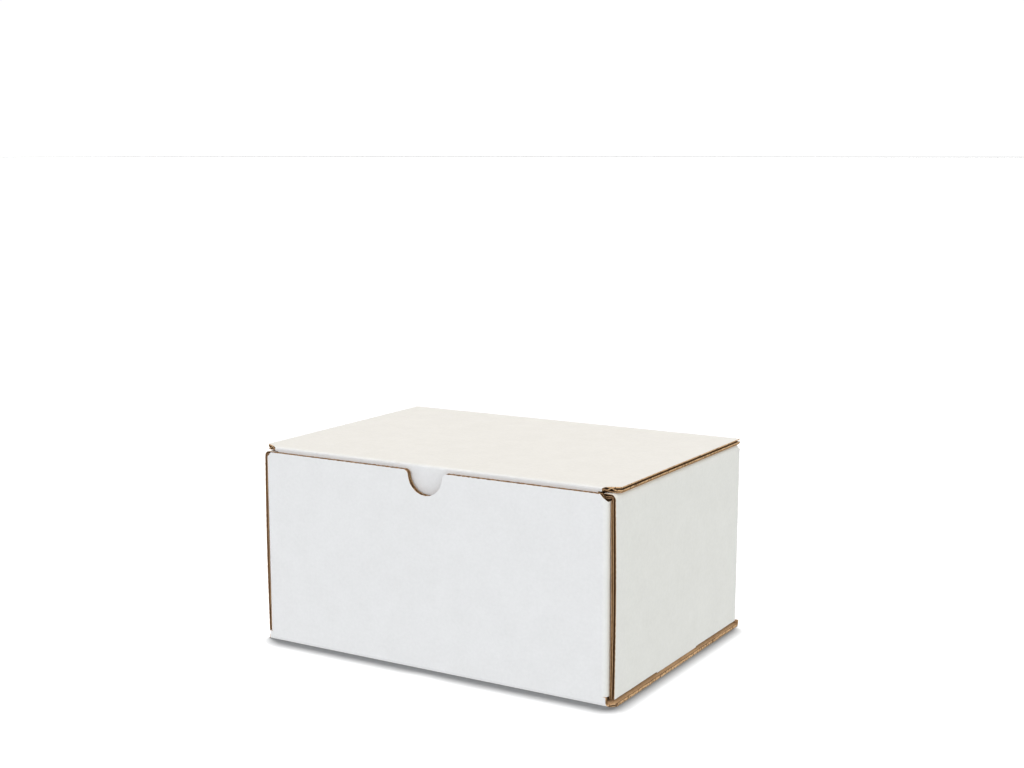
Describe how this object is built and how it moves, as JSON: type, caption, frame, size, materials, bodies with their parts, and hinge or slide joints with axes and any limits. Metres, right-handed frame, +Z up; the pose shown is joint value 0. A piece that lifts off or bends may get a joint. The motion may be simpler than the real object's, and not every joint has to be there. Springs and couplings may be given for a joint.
{
  "type": "corrugated mailer box",
  "caption": "Closed die-cut corrugated mailer box, white outside and brown inside, with roll-over side walls, a thumb notch and a hinged tuck-in lid.",
  "frame": {"origin": "middle of the base's underside, on the surface that the box stands on", "axes": "+X to the box's right along its longest side, front panel with the thumb notch at -Y, hinge of the lid at +Y, +Z up"},
  "size_m": [0.2232, 0.158, 0.1112],
  "materials": {
    "white_board": "matt white liner over brown corrugated board"
  },
  "bodies": {
    "box": {"box_body": "white_board"},
    "lid": {"lid": "white_board"}
  },
  "joints": [
    {"name": "lid_hinge", "type": "hinge", "parent": "box", "child": "lid", "pos_m": [0, 0.0776, 0.1098], "axis": [-1, 0, 0], "range_deg": [0, 175]}
  ]
}
